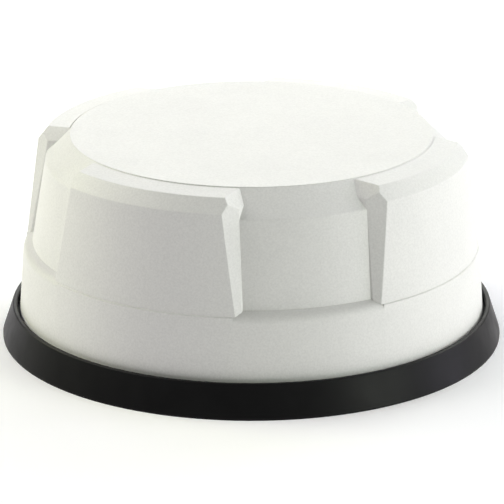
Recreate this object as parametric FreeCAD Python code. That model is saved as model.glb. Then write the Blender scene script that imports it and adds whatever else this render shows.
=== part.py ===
"""A round GNSS receiver for a survey pole or a machine roof, about 156 mm across and 65 mm high.

A white moulded radome with four raised grip pads stands on a white housing band, a black base plate and a
flared black skirt.  Inside are a stacked patch antenna, its amplifier board, the receiver board and its
modules.  Two round connectors with screw-on dust caps and three status lights sit in a flat at the rear.

Frame: millimetres, +Z up, origin at the centre of the foot.  The front recess faces -Y, the connectors +Y.
"""

import FreeCAD
import Part
import math
import os

from FreeCAD import Rotation, Vector

# ---------------------------------------------------------------- driving dimensions, outside shape
FOOT_R = 78.0  # skirt, at the ground
SKIRT_TOP_R = 74.7
SKIRT_H = 10.2
SKIRT_LIP_R = 73.3  # inside of the skirt's upper lip, which leaves a shadow gap round the band
SKIRT_INNER_R = 71.0
EDGE = 0.5  # rounding of the skirt's edges

FLANGE_R = 74.6  # base plate's rim, which the skirt grips
FLANGE_BOTTOM = 3.0
FLANGE_TOP = 7.0

BAND_FOOT_R = 72.6  # housing band where it stands on the base plate
SHOULDER_R = 70.9  # housing band's upper edge
SHOULDER_Z = 29.1
SEAM_R = 68.1  # foot of the radome's wall, on the band
SEAM_Z = 30.6
SHOULDER_EDGE = 0.3
LEDGE_ROUND = 2.9  # softer rounding of the shoulder where it shows between the pads
LEDGE_HALF_ANGLE = (18.9, 20.2)  # of the front and rear recesses, then of the side ones
PAD_STEP = 0.35  # how far the foot of a pad's wall stands back from the shoulder

RECESS_TOP_R = 63.6  # top of the wall between the pads
RECESS_TOP_Z = 56.8
DISC_R = 56.0  # flat top disc
DISC_Z = 64.5
DISC_STEP = 0.25

PAD_INNER_R = 56.5
PAD_INNER_Z = 64.2
PAD_BAND_R = 63.8  # end of the pad's nearly level top
PAD_BAND_Z = 63.6
PAD_WALL_R = 67.1  # top of the pad's wall
PAD_WALL_Z = 59.4
PAD_EDGE = 0.4
DISC_EDGE = 0.2
RECESS_EDGE = 1.2

WALL = 3.0
PAST = 1.0  # how far a cutter runs past a face, and a joined piece into its neighbour

# Each recess: the turn of its middle from the front, and how much wider each half is than the front one's.
RECESSES = ((0.0, 0.0), (90.0, 1.4), (180.0, 0.0), (270.0, 1.4))
# Each face of a pad's end: a point's half width, reach and height, then the face's turn and tilt in degrees.
END_FACES = {
    "flank": (19.3, 60.6, 56.8, 42.5, 6.7),
    "bevel": (25.0, 62.3, 59.4, 68.9, 10.1),
    "top_bevel": (23.2, 59.4, 63.6, 47.6, 39.8),
}

# ---------------------------------------------------------------- driving dimensions, fixings and mounts
BAND_INNER_R = 69.0
BAND_LIP_R = 65.6
BAND_LIP_Z = 26.0
BAND_LIP_DRAFT = 3.4  # slope under the lip
RADOME_SEAL = (66.3, 67.3)
BASE_SEAL = (70.3, 71.5)
SEAL_DEPTH = 1.2
FLOOR = 3.0
RIM_INNER_R = 66.0
RIB_HALF = 1.0
RIB_TOP = 6.0
RELIEF = (47.0, 56.0)  # shallow ring moulded into the underside
RELIEF_DEPTH = 1.0
VENT_Y = -51.5
VENT_R = 4.2
VENT_STEM_R = 3.0
VENT_PORE_R = 1.2
VENT_TOP = 5.0
VENT_HEAD_H = 0.8
MEMBRANE_THICK = 0.3
BOSS_R = 4.0
BOSS_CIRCLE_R = 60.5
BOSS_COUNT = 6
BOSS_TOP = 45.0
BOSS_WEB_HALF = 1.5
INSERT_WELL = 1.2  # free depth above an insert
SCREW_R = 1.5
SCREW_CLEAR_R = 1.7
SCREW_HEAD_R = 2.75
SCREW_HEAD_H = 2.0
SCREW_SEAT_Z = 4.6
SCREW_TOP = 37.6
SCREW_DRIVE = 1.5  # across the flats of the hex recess, halved
HEAD_POCKET_R = 3.1
HEAD_BOSS_R = 4.8
HEAD_BOSS_TOP = 8.0
INSERT_BORE_R = 1.52
INSERT_R = 2.4
INSERT_BOTTOM = 31.2
INSERT_TOP = 38.2

HUB_R = 19.0
HUB_TOP = 18.0
POLE_THREAD_R = 6.7  # minor radius of a 5/8 in - 11 thread
POLE_INSERT_R = 11.0
POLE_INSERT_TOP = 15.5
POLE_THREAD_END = 13.5
POLE_MOUTH = 1.2  # countersink at the thread's mouth

BRACKET_SPACING = 50.0
BRACKET_BOSS_R = 6.5
BRACKET_BOSS_TOP = 12.0
BRACKET_THREAD_R = 2.1  # minor radius of an M5 thread
BRACKET_INSERT_R = 3.6
BRACKET_INSERT_TOP = 9.5
BRACKET_THREAD_END = 8.5

# ---------------------------------------------------------------- driving dimensions, rear connector flat
PANEL_Y = 66.0  # outer face of the flat
PANEL_THICK = 3.0
PANEL_HALF_WIDTH = 30.0
POCKET_ROUND = 1.5
POCKET_BOTTOM = 11.2
POCKET_TOP = 27.4
PORT_X = 15.0
PORT_Z = 19.3
GASKET_THICK = 0.8
GASKET_MARGIN = 0.3
PORT_FLANGE_R = 7.5
PORT_FLANGE_TOP = 2.4
PORT_BODY_R = 6.5
PORT_BODY_END = -9.5
PORT_NOSE_R = 5.95  # outside of the M12 thread
PORT_NOSE_END = 9.6
THREAD_PITCH = 1.0
THREAD_DEPTH = 0.4
THREAD_OUTSIDE = 0.1  # how far a groove's cutter stands outside the thread
THREAD_RUNOUT = 1.4
PORT_BORE_R = 4.7
PORT_INSERT_FACE = 3.0
PIN_R = 0.4
PIN_CIRCLE_R = 2.6
PIN_CIRCLE_COUNT = 4
PIN_FACE = 7.6
PIN_TAIL = -13.0
NUT_ACROSS_FLATS = 15.0
NUT_THICK = 3.0
CAP_R = 7.2
CAP_MOUTH = 2.9
CAP_END = 11.6
CAP_BORE_R = 6.05
CAP_FLOOR = 10.3
CAP_SEAL_INNER_R = 3.4
CAP_SEAL_R = 5.9
CAP_GAP = 0.05
CAP_GRIPS = 24
CAP_GRIP_R = 0.45
CAP_GRIP_OUTSIDE = 0.1  # how far a flute's centre stands outside the cap
CAP_RIM = 1.2
CAP_ROUND = 0.7

LIGHT_SPACING = 4.6
LIGHT_R = 1.2
LIGHT_FACE = 1.3
LIGHT_ROUND = 0.5
LIGHT_GAP = 1.0  # between a light chip's board and its pipe
LIGHT_CHIP = (1.6, 0.8, 1.0)
BEZEL_HALF = (6.8, 4.2)
BEZEL_THICK = 0.7
BEZEL_ROUND = 1.5

# ---------------------------------------------------------------- driving dimensions, electronics
BOARD_R = 55.5
BOARD_Z = 22.0
BOARD_THICK = 1.6
BOARD_FLAT_Y = 50.0
POST_X = 38.0
POST_Y = 28.0
POST_ACROSS_FLATS = 5.5
POST_BOSS_R = 3.6
STUD_R = 1.2
STUD_HOLE_R = 1.25
STUD_BOTTOM = 15.0
BOARD_HOLE_R = 1.35
ANTENNA_BOARD_R = 51.0
GROUND_PLANE_R = 50.0
ANTENNA_SCREW_BOTTOM = 33.0
ANTENNA_SCREW_HEAD = (2.2, 1.6)
ANTENNA_BOARD_Z = 38.4
PLANE_THICK = 1.5
FOIL_THICK = 0.2
LOWER_PATCH_R = 38.0
LOWER_PATCH_H = 7.0
UPPER_PATCH_R = 25.0
UPPER_PATCH_H = 6.0
FOIL_MARGIN = 3.0
FEED_R = 0.6
FEED_CLEAR_R = 0.75
FEED_CIRCLE_R = 9.0
FEED_COUNT = 4
AMPLIFIER_HALF = 15.0
CARD_HALF_X = 23.0
CARD_Y = (-45.0, 26.0)
CARD_Z = 27.6
CARD_THICK = 1.6
CARD_ROUND = 1.5
CARD_POST = (20.5, 23.5, -34.0)  # half spacing across, then the two rows
CAN_H = 4.0
CAN_WALL = 0.3
CAN_ROUND = 1.0
# Limits across and along of the parts on the boards.
RECEIVER_CAN = ((-17.0, 17.0), (-31.0, 20.0))
CARD_HEADER = ((-16.0, 16.0), (-43.0, -39.0))
RADIO_CAN = ((30.0, 46.0), (-14.0, 6.0))
TILT_SENSOR = ((-38.0, -33.0), (-2.0, 3.0))
TILT_SENSOR_H = 1.4
CELL_PLACE = (-38.0, -16.0)
CELL_R = 6.2
CELL_H = 3.2
CARD_SPACER_R = 2.0
CARD_SCREW_HEAD = (2.0, 1.2)
LINK_PLACE = (20.0, -10.0)  # rigid coaxial link between the receiver card and the antenna board
LINK_R = 1.4
LINK_COLLAR_R = 1.8
LINK_SOCKET_R = 2.4
LINK_SOCKET_BORE_R = 1.85
LINK_SOCKET_H = 2.2
LINK_COLLAR_STANDS = 0.5  # collar beyond its socket
IO_BOARD_Y = 53.4
IO_BOARD_HALF_X = 22.0
IO_BOARD_Z = (11.5, 27.0)
FLEX_THICK = 0.3
FLEX_HALF = 6.0
FLEX_Z = 24.6
SOCKET_Y = (44.5, 48.5)
SOCKET_H = 2.0
SOCKET_MARGIN = 1.5

BOARD_TOP = BOARD_Z + BOARD_THICK
PLANE_Z = ANTENNA_BOARD_Z + BOARD_THICK
PATCH_Z = PLANE_Z + PLANE_THICK

OUT = "parts"


# ---------------------------------------------------------------- small helpers
def tube(radius, low, high, x=0.0, y=0.0, bore=0.0):
    """An upright cylinder from height low to high, with a bore through it if one is given."""
    solid = Part.makeCylinder(radius, high - low, Vector(x, y, low))
    if bore > 0:
        solid = solid.cut(Part.makeCylinder(bore, high - low + 2 * PAST, Vector(x, y, low - PAST)))
    return solid


def block(x_span, y_span, z_span):
    """A box between two limits on each axis."""
    corner = Vector(x_span[0], y_span[0], z_span[0])
    return Part.makeBox(x_span[1] - x_span[0], y_span[1] - y_span[0], z_span[1] - z_span[0], corner)


def rounded_block(x_span, y_span, z_span, radius):
    """A box whose four upright edges are rounded."""
    solid = block(x_span, y_span, z_span)
    return solid.makeFillet(radius, upright_edges(solid))


def upright_edges(solid):
    """The straight edges of a solid that run along Z."""
    found = []
    for edge in solid.Edges:
        if isinstance(edge.Curve, Part.Line) and abs(edge.tangentAt(edge.FirstParameter).z) > 0.999:
            found.append(edge)
    return found


def hexagon(across_flats, low, high, x=0.0, y=0.0, bore=0.0, start=0.0):
    """An upright hexagonal prism, its first corner turned by start degrees from +X."""
    radius = across_flats / math.sqrt(3.0)
    corners = []
    for i in range(7):
        turn = math.radians(60 * i + start)
        corners.append(Vector(x + radius * math.cos(turn), y + radius * math.sin(turn), low))
    solid = Part.Face(Part.makePolygon(corners)).extrude(Vector(0, 0, high - low))
    if bore > 0:
        solid = solid.cut(tube(bore, low - PAST, high + PAST, x, y))
    return solid


def outline_wire(points):
    """A closed wire in the XZ plane from (radius, height) points."""
    corners = [Vector(r, 0, z) for r, z in points]
    return Part.makePolygon(corners + corners[:1])


def lathe(points, degrees=360.0):
    """A solid of revolution about Z from a closed outline of (radius, height) points."""
    return Part.Face(outline_wire(points)).revolve(Vector(0, 0, 0), Vector(0, 0, 1), degrees)


def merged(solids):
    """One solid from several that overlap."""
    return solids[0].multiFuse(solids[1:]).removeSplitter()


def on_circle(radius, count, start=0.0):
    """Points spread evenly round a circle, as (x, y)."""
    turns = [math.radians(start + 360.0 * i / count) for i in range(count)]
    return [(radius * math.cos(t), radius * math.sin(t)) for t in turns]


def four_corners(half_x, half_y):
    """The four corners of a rectangle about the axis, as (x, y)."""
    return [(sx * half_x, sy * half_y) for sx in (-1, 1) for sy in (-1, 1)]


def inset_outline(points, distance):
    """An open outline moved sideways by distance, to the left of its direction of travel."""
    lines = []
    for (r0, z0), (r1, z1) in zip(points, points[1:]):
        length = math.hypot(r1 - r0, z1 - z0)
        normal = ((z0 - z1) / length, (r1 - r0) / length)
        start = (r0 + normal[0] * distance, z0 + normal[1] * distance)
        lines.append((start, ((r1 - r0) / length, (z1 - z0) / length)))
    moved = [lines[0][0]]
    for (p, d), (q, e) in zip(lines, lines[1:]):
        cross = d[0] * e[1] - d[1] * e[0]
        along = ((q[0] - p[0]) * e[1] - (q[1] - p[1]) * e[0]) / cross
        moved.append((p[0] + d[0] * along, p[1] + d[1] * along))
    last_length = math.hypot(points[-1][0] - points[-2][0], points[-1][1] - points[-2][1])
    start, direction = lines[-1]
    moved.append((start[0] + direction[0] * last_length, start[1] + direction[1] * last_length))
    return moved


def save(name, solids):
    """Writes one named sub-part, of one or more solids."""
    group = solids if isinstance(solids, list) else [solids]
    shape = Part.makeCompound(group)
    assert shape.isValid(), name
    shape.exportStep(os.path.join(OUT, name + ".step"))


# ---------------------------------------------------------------- radome
def recess_outline():
    """The radome's outline between the pads, from the seam up to the disc's edge."""
    top = DISC_Z - DISC_STEP
    return [(SEAM_R, SEAM_Z), (RECESS_TOP_R, RECESS_TOP_Z), (DISC_R, top), (0.0, top)]


def pad_foot():
    """The foot of a pad's wall, a step in from the shoulder on the band's sloping top."""
    slope = (SEAM_Z - SHOULDER_Z) / (SHOULDER_R - SEAM_R)
    return (SHOULDER_R - PAD_STEP, SHOULDER_Z + PAD_STEP * slope)


def pad_outline():
    """A pad's outline, from its foot on the shoulder up to its inner edge."""
    return [
        pad_foot(),
        (PAD_WALL_R, PAD_WALL_Z),
        (PAD_BAND_R, PAD_BAND_Z),
        (PAD_INNER_R, PAD_INNER_Z),
    ]


def half_space(point, normal):
    """A large block that fills the side of a plane that its normal points to."""
    size = 200.0
    solid = Part.makeBox(size, size, size, Vector(-size / 2, -size / 2, 0))
    solid.Placement = FreeCAD.Placement(point, Rotation(Vector(0, 0, 1), normal))
    return solid


def end_cutters(recess_turn, extra, side, inset):
    """The three half spaces that shape the pad's end on one side (1 or -1) of a recess."""
    cutters = []
    to_recess = Rotation(Vector(0, 0, 1), recess_turn)
    for half_width, reach, height, turn, tilt in END_FACES.values():
        level = math.cos(math.radians(tilt))
        lateral = -side * math.cos(math.radians(turn)) * level
        outward = math.sin(math.radians(turn)) * level
        normal = Vector(lateral, -outward, math.sin(math.radians(tilt)))
        point = Vector(side * (half_width + extra), -reach, height) - normal * inset
        cutters.append(half_space(to_recess.multVec(point), to_recess.multVec(normal)))
    return cutters


def pad(index, inset, foot):
    """One pad, between a recess and the next, taken in by inset and reaching down to foot."""
    outline = inset_outline(pad_outline(), inset) if inset else pad_outline()
    outer_foot, inner_foot = foot
    section = [outer_foot] + outline[1:] + [(outline[-1][0], inner_foot[1]), inner_foot]
    turn, extra = RECESSES[index]
    next_turn, next_extra = RECESSES[(index + 1) % len(RECESSES)]
    sweep = (next_turn - turn) % 360.0
    solid = lathe(section, sweep)
    solid.rotate(Vector(0, 0, 0), Vector(0, 0, 1), turn - 90.0)
    for cutter in end_cutters(turn, extra, 1, inset) + end_cutters(next_turn, next_extra, -1, inset):
        solid = solid.cut(cutter)
    return solid.Solids[0]


def rounded_pad(index):
    """One pad as it shows, with its outer edges rounded."""
    solid = pad(index, 0.0, (pad_foot(), (SEAM_R, SEAM_Z)))
    outer = []
    for edge in solid.Edges:
        reach = [math.hypot(v.X, v.Y) for v in edge.Vertexes]
        height = [v.Z for v in edge.Vertexes]
        if max(reach) > PAD_INNER_R + 0.1 and max(height) > SEAM_Z + 0.5:
            outer.append(edge)
    return solid.makeFillet(PAD_EDGE, outer)


def round_circles(solid, radius, height, rounding):
    """A turned solid with its circular edges of one radius and height rounded."""
    edges = []
    for edge in solid.Edges:
        if isinstance(edge.Curve, Part.Circle) and abs(edge.Curve.Radius - radius) < 0.01:
            if abs(edge.Curve.Center.z - height) < 0.01:
                edges.append(edge)
    return solid.makeFillet(rounding, edges)


def radome_form():
    """The radome's outside as one solid, before it is hollowed."""
    body = lathe([(0.0, SEAM_Z)] + recess_outline())
    body = round_circles(body, RECESS_TOP_R, RECESS_TOP_Z, RECESS_EDGE)
    disc = round_circles(tube(DISC_R, DISC_Z - 2.0, DISC_Z), DISC_R, DISC_Z, DISC_EDGE)
    return merged([body, disc] + [rounded_pad(i) for i in range(len(RECESSES))])


def radome_cavity():
    """The space inside the radome, one wall thickness in from the outside."""
    inner = inset_outline(recess_outline(), WALL)
    low = SEAM_Z - 3.0
    slope = (inner[1][0] - inner[0][0]) / (inner[1][1] - inner[0][1])
    inner_foot_r = inner[0][0] + slope * (low - inner[0][1])
    body = lathe([(0.0, low), (inner_foot_r, low)] + inner[1:])
    foot = ((SEAM_R - WALL, SEAM_Z), (SEAM_R - 2 * WALL, SEAM_Z))
    pads = [pad(i, WALL, foot) for i in range(len(RECESSES))]
    return merged([body] + pads)


def make_radome():
    """The moulded white radome, with its screw bosses."""
    outside = radome_form()
    solid = outside.cut(radome_cavity())
    for x, y in on_circle(BOSS_CIRCLE_R, BOSS_COUNT):
        turn = math.degrees(math.atan2(y, x))
        web = block((BOSS_CIRCLE_R, SEAM_R), (-BOSS_WEB_HALF, BOSS_WEB_HALF), (SEAM_Z, BOSS_TOP))
        web.rotate(Vector(0, 0, 0), Vector(0, 0, 1), turn)
        boss = tube(BOSS_R, SEAM_Z, BOSS_TOP, x, y).fuse(web).common(outside)
        solid = solid.fuse(boss).cut(tube(INSERT_R, SEAM_Z - PAST, INSERT_TOP + INSERT_WELL, x, y))
    return solid.removeSplitter()


# ---------------------------------------------------------------- housing
def band_form():
    """The outside of the white housing band as a full solid, its shoulder softer between the pads."""
    shoulder = (SHOULDER_R, SHOULDER_Z)
    outline = [(0.0, FLANGE_TOP), (BAND_FOOT_R, FLANGE_TOP), shoulder, (SEAM_R, SEAM_Z), (0.0, SEAM_Z)]
    crisp = round_circles(lathe(outline), SHOULDER_R, SHOULDER_Z, SHOULDER_EDGE)
    soft = round_circles(lathe(outline), SHOULDER_R, SHOULDER_Z, LEDGE_ROUND)
    shaved = crisp
    for index, (turn, _) in enumerate(RECESSES):
        half = LEDGE_HALF_ANGLE[index % 2]
        low, high = SHOULDER_Z / 2, SEAM_Z + PAST
        section = [(SEAM_R - PAST, low), (FOOT_R, low), (FOOT_R, high), (SEAM_R - PAST, high)]
        sector = lathe(section, 2 * half)
        sector.rotate(Vector(0, 0, 0), Vector(0, 0, 1), turn - 90.0 - half)
        shaved = shaved.cut(sector.cut(soft))
    return shaved


def make_housing_band():
    """The white band between base plate and radome, with the connector flat let into its rear."""
    outside = band_form()
    inside = lathe(
        [
            (0.0, FLANGE_TOP - PAST),
            (BAND_INNER_R, FLANGE_TOP - PAST),
            (BAND_INNER_R, BAND_LIP_Z - BAND_LIP_DRAFT),
            (BAND_LIP_R, BAND_LIP_Z),
            (BAND_LIP_R, SEAM_Z + PAST),
            (0.0, SEAM_Z + PAST),
        ]
    )
    width = (-PANEL_HALF_WIDTH, PANEL_HALF_WIDTH)
    panel = block(width, (PANEL_Y - PANEL_THICK, FOOT_R), (FLANGE_TOP - 2 * PAST, SEAM_Z + 2 * PAST))
    solid = outside.cut(inside.cut(panel))
    solid = solid.cut(rounded_pocket(width, (PANEL_Y, FOOT_R), (POCKET_BOTTOM, POCKET_TOP)))
    for x in (-PORT_X, PORT_X):
        solid = solid.cut(rearward(tube(PORT_BODY_R, -2 * PANEL_THICK, PANEL_THICK), x))
    for x in light_places():
        solid = solid.cut(rearward(tube(LIGHT_R, -2 * PANEL_THICK, PANEL_THICK), x))
    inner, outer = RADOME_SEAL
    return solid.cut(tube(outer, SEAM_Z - SEAL_DEPTH, SEAM_Z + PAST, bore=inner)).removeSplitter()


def rounded_pocket(x_span, y_span, z_span):
    """A pocket cutter whose edges along Y are rounded."""
    solid = block(x_span, y_span, z_span)
    edges = []
    for edge in solid.Edges:
        if abs(edge.tangentAt(edge.FirstParameter).y) > 0.999:
            edges.append(edge)
    return solid.makeFillet(POCKET_ROUND, edges)


def make_base_plate():
    """The black base plate: floor, rim, hub, posts for the case screws and bosses for boards and bracket."""
    solid = lathe(
        [
            (0.0, 0.0),
            (SKIRT_INNER_R, 0.0),
            (SKIRT_INNER_R, FLANGE_BOTTOM),
            (FLANGE_R, FLANGE_BOTTOM),
            (FLANGE_R, FLANGE_TOP),
            (RIM_INNER_R, FLANGE_TOP),
            (RIM_INNER_R, FLOOR),
            (0.0, FLOOR),
        ]
    )
    added = [tube(HUB_R, FLOOR - PAST, HUB_TOP)]
    for i in range(BOSS_COUNT):
        rib = block((HUB_R - PAST, RIM_INNER_R + PAST), (-RIB_HALF, RIB_HALF), (FLOOR - PAST, RIB_TOP))
        rib.rotate(Vector(0, 0, 0), Vector(0, 0, 1), 360.0 * i / BOSS_COUNT)
        added.append(rib)
    for x, y in on_circle(BOSS_CIRCLE_R, BOSS_COUNT):
        added.append(tube(BOSS_R, FLOOR - PAST, SEAM_Z, x, y))
        added.append(tube(HEAD_BOSS_R, FLOOR - PAST, HEAD_BOSS_TOP, x, y))
    for x, y in four_corners(BRACKET_SPACING / 2, BRACKET_SPACING / 2):
        added.append(tube(BRACKET_BOSS_R, FLOOR - PAST, BRACKET_BOSS_TOP, x, y))
    for x, y in four_corners(POST_X, POST_Y):
        added.append(tube(POST_BOSS_R, FLOOR - PAST, BOARD_Z, x, y))
    solid = merged([solid] + added)
    cuts = [tube(POLE_INSERT_R, -PAST, POLE_INSERT_TOP)]
    cuts.append(tube(RELIEF[1], -PAST, RELIEF_DEPTH, bore=RELIEF[0]))
    cuts.append(tube(VENT_STEM_R, -PAST, FLOOR + PAST, 0.0, VENT_Y))
    inner, outer = BASE_SEAL
    cuts.append(tube(outer, FLANGE_TOP - SEAL_DEPTH, FLANGE_TOP + PAST, bore=inner))
    for x, y in on_circle(BOSS_CIRCLE_R, BOSS_COUNT):
        cuts.append(tube(SCREW_CLEAR_R, -PAST, SEAM_Z + PAST, x, y))
        cuts.append(tube(HEAD_POCKET_R, -PAST, SCREW_SEAT_Z, x, y))
    for x, y in four_corners(BRACKET_SPACING / 2, BRACKET_SPACING / 2):
        cuts.append(tube(BRACKET_INSERT_R, -PAST, BRACKET_INSERT_TOP, x, y))
    for x, y in four_corners(POST_X, POST_Y):
        cuts.append(tube(STUD_HOLE_R, STUD_BOTTOM - PAST, BOARD_Z + PAST, x, y))
    for cutter in cuts:
        solid = solid.cut(cutter)
    return solid.removeSplitter()


def make_skirt():
    """The flared black skirt, which grips the base plate's rim."""
    solid = lathe(
        [
            (SKIRT_INNER_R, 0.0),
            (FOOT_R, 0.0),
            (FOOT_R, EDGE),
            (SKIRT_TOP_R, SKIRT_H),
            (SKIRT_LIP_R, SKIRT_H),
            (SKIRT_LIP_R, FLANGE_TOP),
            (FLANGE_R, FLANGE_TOP),
            (FLANGE_R, FLANGE_BOTTOM),
            (SKIRT_INNER_R, FLANGE_BOTTOM),
        ]
    )
    edges = []
    for edge in solid.Edges:
        at = edge.BoundBox.ZMax
        if isinstance(edge.Curve, Part.Circle) and abs(at - SKIRT_H) < 0.01:
            edges.append(edge)
    return solid.makeFillet(EDGE, edges)


def make_case_screws():
    """Six long cap screws, which clamp base plate, band and radome together."""
    screws = []
    for x, y in on_circle(BOSS_CIRCLE_R, BOSS_COUNT):
        head = tube(SCREW_HEAD_R, SCREW_SEAT_Z - SCREW_HEAD_H, SCREW_SEAT_Z, x, y)
        screw = head.fuse(tube(SCREW_R, SCREW_SEAT_Z - PAST, SCREW_TOP, x, y))
        drive = hexagon(2 * SCREW_DRIVE, 0, SCREW_SEAT_Z - SCREW_HEAD_H / 2, x, y)
        screws.append(screw.cut(drive).removeSplitter())
    return screws


def make_radome_inserts():
    """Six brass inserts moulded into the radome's bosses."""
    places = on_circle(BOSS_CIRCLE_R, BOSS_COUNT)
    return [tube(INSERT_R, INSERT_BOTTOM, INSERT_TOP, x, y, INSERT_BORE_R) for x, y in places]


def blind_insert(radius, top, bore, bore_end, mouth, x=0.0, y=0.0):
    """A blind threaded insert open at the foot, with a countersunk mouth."""
    solid = tube(radius, 0.0, top, x, y).cut(tube(bore, -PAST, bore_end, x, y))
    cone = Part.makeCone(bore + mouth, bore, mouth, Vector(x, y, 0))
    return solid.cut(cone)


def make_pole_insert():
    """The steel insert on the axis that takes a 5/8 in - 11 pole stud."""
    return blind_insert(POLE_INSERT_R, POLE_INSERT_TOP, POLE_THREAD_R, POLE_THREAD_END, POLE_MOUTH)


def make_bracket_inserts():
    """Four M5 inserts for a flat bracket."""
    inserts = []
    for x, y in four_corners(BRACKET_SPACING / 2, BRACKET_SPACING / 2):
        radius, top = BRACKET_INSERT_R, BRACKET_INSERT_TOP
        inserts.append(blind_insert(radius, top, BRACKET_THREAD_R, BRACKET_THREAD_END, EDGE, x, y))
    return inserts


def make_vent_body():
    """The pressure vent's plug, in the underside's shallow ring."""
    head = tube(VENT_R, RELIEF_DEPTH - VENT_HEAD_H, RELIEF_DEPTH, 0.0, VENT_Y)
    stem = tube(VENT_STEM_R, RELIEF_DEPTH - VENT_HEAD_H / 2, VENT_TOP, 0.0, VENT_Y)
    return head.fuse(stem).cut(tube(VENT_PORE_R, -PAST, VENT_TOP + PAST, 0.0, VENT_Y)).removeSplitter()


def make_vent_membrane():
    """The vent's membrane, across the inner end of its bore."""
    return tube(VENT_STEM_R, VENT_TOP, VENT_TOP + MEMBRANE_THICK, 0.0, VENT_Y)


# ---------------------------------------------------------------- rear connectors and lights
def rearward(solid, x):
    """A solid made about +Z, turned to point out of the rear flat at height PORT_Z."""
    moved = solid.copy()
    moved.rotate(Vector(0, 0, 0), Vector(1, 0, 0), -90)
    moved.translate(Vector(x, PANEL_Y, PORT_Z))
    return moved


def light_places():
    """The three lights' places across the flat."""
    return (-LIGHT_SPACING, 0.0, LIGHT_SPACING)


def pin_places():
    """The connector's five pins: one on the axis and four round it."""
    return [(0.0, 0.0)] + on_circle(PIN_CIRCLE_R, PIN_CIRCLE_COUNT, 45.0)


def port_shell():
    """A connector's metal shell, with its flange and threaded nose."""
    solid = tube(PORT_BODY_R, PORT_BODY_END, PORT_FLANGE_TOP)
    solid = solid.fuse(tube(PORT_FLANGE_R, GASKET_THICK, PORT_FLANGE_TOP))
    solid = solid.fuse(tube(PORT_NOSE_R, GASKET_THICK, PORT_NOSE_END))
    turns = int((PORT_NOSE_END - PORT_FLANGE_TOP - THREAD_RUNOUT) / THREAD_PITCH)
    for i in range(turns):
        z = PORT_NOSE_END - THREAD_PITCH * (i + 0.75)
        groove = lathe(
            [
                (PORT_NOSE_R - THREAD_DEPTH, z),
                (PORT_NOSE_R + THREAD_OUTSIDE, z - THREAD_DEPTH),
                (PORT_NOSE_R + THREAD_OUTSIDE, z + THREAD_DEPTH),
            ]
        )
        solid = solid.cut(groove)
    return solid.cut(tube(PORT_BORE_R, PORT_BODY_END - PAST, PORT_NOSE_END + PAST)).removeSplitter()


def port_insert():
    """A connector's insulator, bored for its pins."""
    solid = tube(PORT_BORE_R, PORT_BODY_END, PORT_INSERT_FACE)
    for x, y in pin_places():
        solid = solid.cut(tube(PIN_R, PORT_BODY_END - PAST, PORT_INSERT_FACE + PAST, x, y))
    return solid


def port_nut():
    """The nut that holds a connector from inside."""
    return hexagon(NUT_ACROSS_FLATS, -PANEL_THICK - NUT_THICK, -PANEL_THICK, bore=PORT_BODY_R, start=90.0)


def dust_cap():
    """A screw-on dust cap with a fluted grip."""
    solid = tube(CAP_R, CAP_MOUTH, CAP_END)
    solid = round_circles(solid, CAP_R, CAP_END, CAP_ROUND)
    for x, y in on_circle(CAP_R + CAP_GRIP_OUTSIDE, CAP_GRIPS):
        solid = solid.cut(tube(CAP_GRIP_R, CAP_MOUTH + CAP_RIM, CAP_END - CAP_RIM, x, y))
    return solid.cut(tube(CAP_BORE_R, CAP_MOUTH - PAST, CAP_FLOOR))


def cap_seal():
    """The soft washer between a connector's nose and its cap."""
    return tube(CAP_SEAL_R, PORT_NOSE_END + CAP_GAP, CAP_FLOOR - CAP_GAP, bore=CAP_SEAL_INNER_R)


def save_port(name, x):
    """Writes every piece of one connector and its dust cap."""
    pins = [tube(PIN_R, PIN_TAIL, PIN_FACE, px, py) for px, py in pin_places()]
    save(name + "_port_shell", rearward(port_shell(), x))
    save(name + "_port_insert", rearward(port_insert(), x))
    save(name + "_port_pins", [rearward(pin, x) for pin in pins])
    gasket = tube(PORT_FLANGE_R - GASKET_MARGIN, 0.0, GASKET_THICK, bore=PORT_BODY_R)
    save(name + "_port_gasket", rearward(gasket, x))
    save(name + "_port_nut", rearward(port_nut(), x))
    save(name + "_cap_seal", rearward(cap_seal(), x))
    save(name + "_cap", rearward(dust_cap(), x))


def make_light_bezel():
    """The dark window plate round the three status lights."""
    half_x, half_z = BEZEL_HALF
    solid = rounded_block((-half_x, half_x), (-half_z, half_z), (0.0, BEZEL_THICK), BEZEL_ROUND)
    for x in light_places():
        solid = solid.cut(tube(LIGHT_R, -PAST, BEZEL_THICK + PAST, x))
    return rearward(solid, 0.0)


def make_light_pipes():
    """Three clear pipes, which bring the lights out through the flat."""
    back = IO_BOARD_Y + BOARD_THICK + LIGHT_GAP - PANEL_Y
    pipes = []
    for x in light_places():
        pipe = tube(LIGHT_R, back, LIGHT_FACE)
        pipes.append(rearward(round_circles(pipe, LIGHT_R, LIGHT_FACE, LIGHT_ROUND), x))
    return pipes


def make_light_chips():
    """The three lights themselves, on the connector board."""
    wide, thick, high = LIGHT_CHIP
    face = IO_BOARD_Y + BOARD_THICK
    z_span = (PORT_Z - high / 2, PORT_Z + high / 2)
    return [block((x - wide / 2, x + wide / 2), (face, face + thick), z_span) for x in light_places()]


# ---------------------------------------------------------------- boards and antenna
def make_main_board():
    """The main board, with a flat edge that clears the connectors."""
    solid = tube(BOARD_R, BOARD_Z, BOARD_TOP)
    beyond = block((-BOARD_R, BOARD_R), (BOARD_FLAT_Y, BOARD_R + PAST), (BOARD_Z - PAST, BOARD_TOP + PAST))
    solid = solid.cut(beyond)
    for x, y in four_corners(POST_X, POST_Y):
        solid = solid.cut(tube(BOARD_HOLE_R, BOARD_Z - PAST, BOARD_TOP + PAST, x, y))
    return solid


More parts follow.
